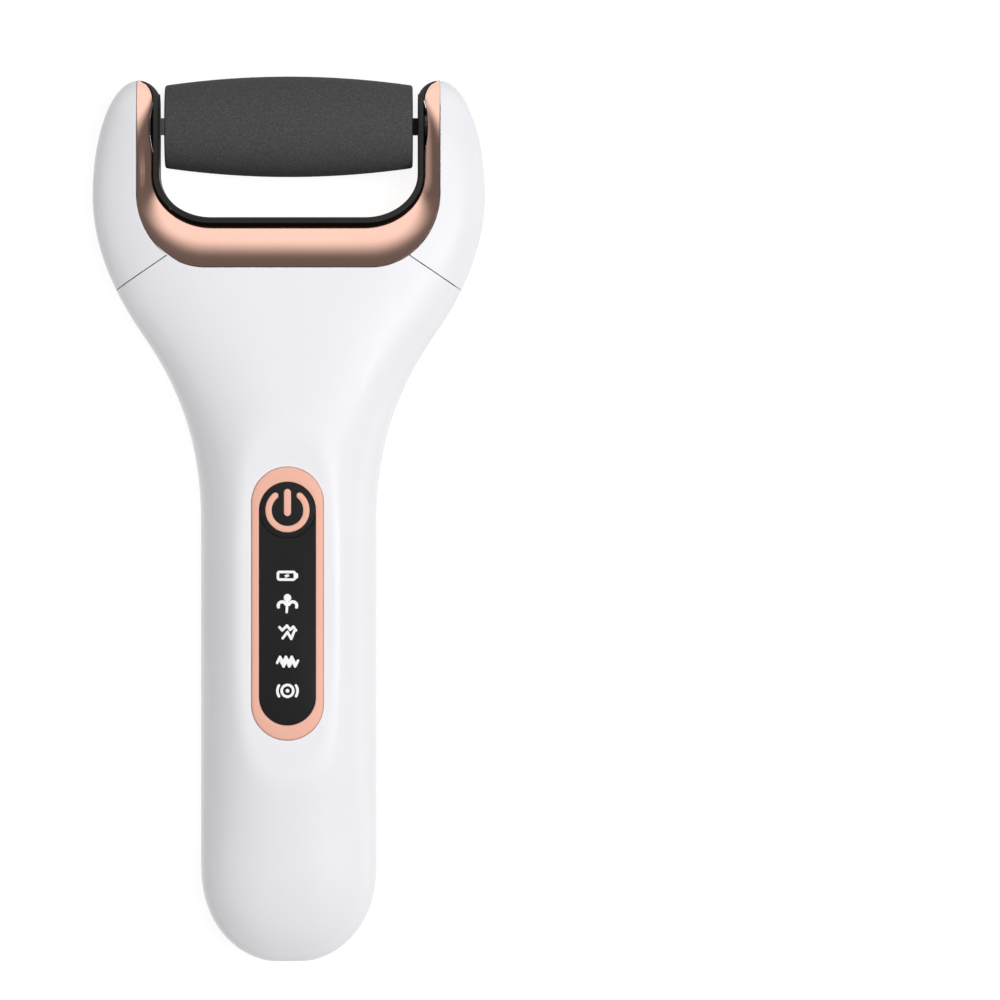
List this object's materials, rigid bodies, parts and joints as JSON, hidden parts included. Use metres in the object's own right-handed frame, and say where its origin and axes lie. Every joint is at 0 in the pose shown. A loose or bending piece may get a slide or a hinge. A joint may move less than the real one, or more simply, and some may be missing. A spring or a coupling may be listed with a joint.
{
  "type": "electric callus remover",
  "caption": "Rechargeable hand-held callus file with a motor-driven barrel roller held in a rose-gold cradle at the head of a white handle.",
  "frame": {"origin": "centre of the bounding box at the flat back face, with the device lying on its back", "axes": "+Y from the handle end to the roller, +Z out of the front face, +X to the right seen from the front"},
  "size_m": [0.0746, 0.168, 0.0274],
  "materials": {
    "white_gloss": "white injection-moulded ABS, semi-gloss",
    "rose_gold": "electroplated rose gold over plastic, mirror gloss",
    "peach_satin": "satin peach-gold paint",
    "black_gloss": "black gloss window plastic",
    "black_plastic": "moulded black plastic",
    "abrasive": "dark grey mineral grit, matte",
    "grey_plastic": "moulded grey plastic",
    "natural_plastic": "unpigmented acetal",
    "steel": "bright zinc-plated steel",
    "dark_steel": "dark phosphated steel and ferrite",
    "switch_metal": "stamped steel switch frame",
    "board_green": "green solder mask on glass-fibre board",
    "led_lens": "white moulded light-emitting diode and printed symbols",
    "cell_wrap": "blue shrink sleeve on a steel can",
    "nickel": "nickel-plated steel",
    "wire_red": "red insulation",
    "wire_black": "black insulation"
  },
  "bodies": {
    "root": {"front_shell": "white_gloss", "rear_shell": "white_gloss", "left_ear_cover": "white_gloss", "right_ear_cover": "white_gloss", "cradle_trim": "rose_gold", "panel_bezel": "peach_satin", "panel_lens": "black_gloss", "cradle_liner": "black_plastic", "motor_end_bell": "black_plastic", "retaining_clip": "steel", "first_arbor": "steel", "second_arbor": "steel", "lower_transfer_arbor": "steel", "upper_transfer_arbor": "steel", "motor_can": "steel", "case_screw_1": "steel", "case_screw_2": "steel", "case_screw_3": "steel", "case_screw_4": "steel", "case_screw_5": "steel", "motor_bracket": "dark_steel", "gear_frame": "dark_steel", "gear_bridge": "dark_steel", "motor_magnet_upper": "dark_steel", "motor_magnet_lower": "dark_steel", "switch_body": "switch_metal", "main_board": "board_green", "charge_board": "board_green", "led_1": "led_lens", "led_2": "led_lens", "led_3": "led_lens", "led_4": "led_lens", "led_5": "led_lens", "battery_cell": "cell_wrap", "cell_tab_positive": "nickel", "cell_tab_negative": "nickel", "usb_socket": "nickel", "motor_lead_red": "wire_red", "cell_lead_red": "wire_red", "motor_lead_black": "wire_black", "cell_lead_black": "wire_black"},
    "cartridge": {"idler_axle": "steel"},
    "roller": {"roller_sleeve": "abrasive", "roller_core": "grey_plastic", "drive_cap": "black_plastic", "idler_bush": "natural_plastic"},
    "drive_spindle": {"drive_fork": "dark_steel", "output_gear": "natural_plastic"},
    "upper_transfer": {"transfer_gear_2": "natural_plastic"},
    "lower_transfer": {"transfer_gear_1": "natural_plastic"},
    "second_compound": {"compound_gear_b": "natural_plastic"},
    "first_compound": {"compound_gear_a": "natural_plastic"},
    "motor_rotor": {"motor_pinion": "steel", "motor_armature": "dark_steel", "motor_shaft": "steel"},
    "button": {"power_button": "black_gloss", "switch_plunger": "black_plastic"}
  },
  "joints": [
    {"name": "cartridge_lift", "type": "slide", "parent": "root", "child": "cartridge", "axis": [0, 1, 0], "range_m": [0, 0.02]},
    {"name": "roller_spin", "type": "hinge", "parent": "cartridge", "child": "roller", "pos_m": [0, 0.07442, 0.013], "axis": [1, 0, 0], "continuous": true},
    {"name": "output_spin", "type": "hinge", "parent": "root", "child": "drive_spindle", "pos_m": [0, 0.07442, 0.013], "axis": [1, 0, 0], "continuous": true},
    {"name": "upper_transfer_spin", "type": "hinge", "parent": "root", "child": "upper_transfer", "pos_m": [0, 0.06542, 0.013], "axis": [1, 0, 0], "continuous": true},
    {"name": "lower_transfer_spin", "type": "hinge", "parent": "root", "child": "lower_transfer", "pos_m": [0, 0.05542, 0.013], "axis": [1, 0, 0], "continuous": true},
    {"name": "second_compound_spin", "type": "hinge", "parent": "root", "child": "second_compound", "pos_m": [0, 0.04742, 0.013], "axis": [1, 0, 0], "continuous": true},
    {"name": "first_compound_spin", "type": "hinge", "parent": "root", "child": "first_compound", "pos_m": [0, 0.03842, 0.013], "axis": [1, 0, 0], "continuous": true},
    {"name": "motor_spin", "type": "hinge", "parent": "root", "child": "motor_rotor", "pos_m": [0, 0.02892, 0.013], "axis": [1, 0, 0], "continuous": true},
    {"name": "power_press", "type": "slide", "parent": "root", "child": "button", "axis": [0, 0, -1], "range_m": [0, 0.0004], "stiffness_N_per_m": 2500, "springref_m": -0.0004}
  ],
  "couplings": [
    {"joint": "output_spin", "follows": "roller_spin", "ratio": 1},
    {"joint": "upper_transfer_spin", "follows": "roller_spin", "ratio": -0.8},
    {"joint": "lower_transfer_spin", "follows": "roller_spin", "ratio": 0.8},
    {"joint": "second_compound_spin", "follows": "roller_spin", "ratio": -1.3333},
    {"joint": "first_compound_spin", "follows": "roller_spin", "ratio": 2.6667},
    {"joint": "motor_spin", "follows": "roller_spin", "ratio": -7.4667}
  ]
}
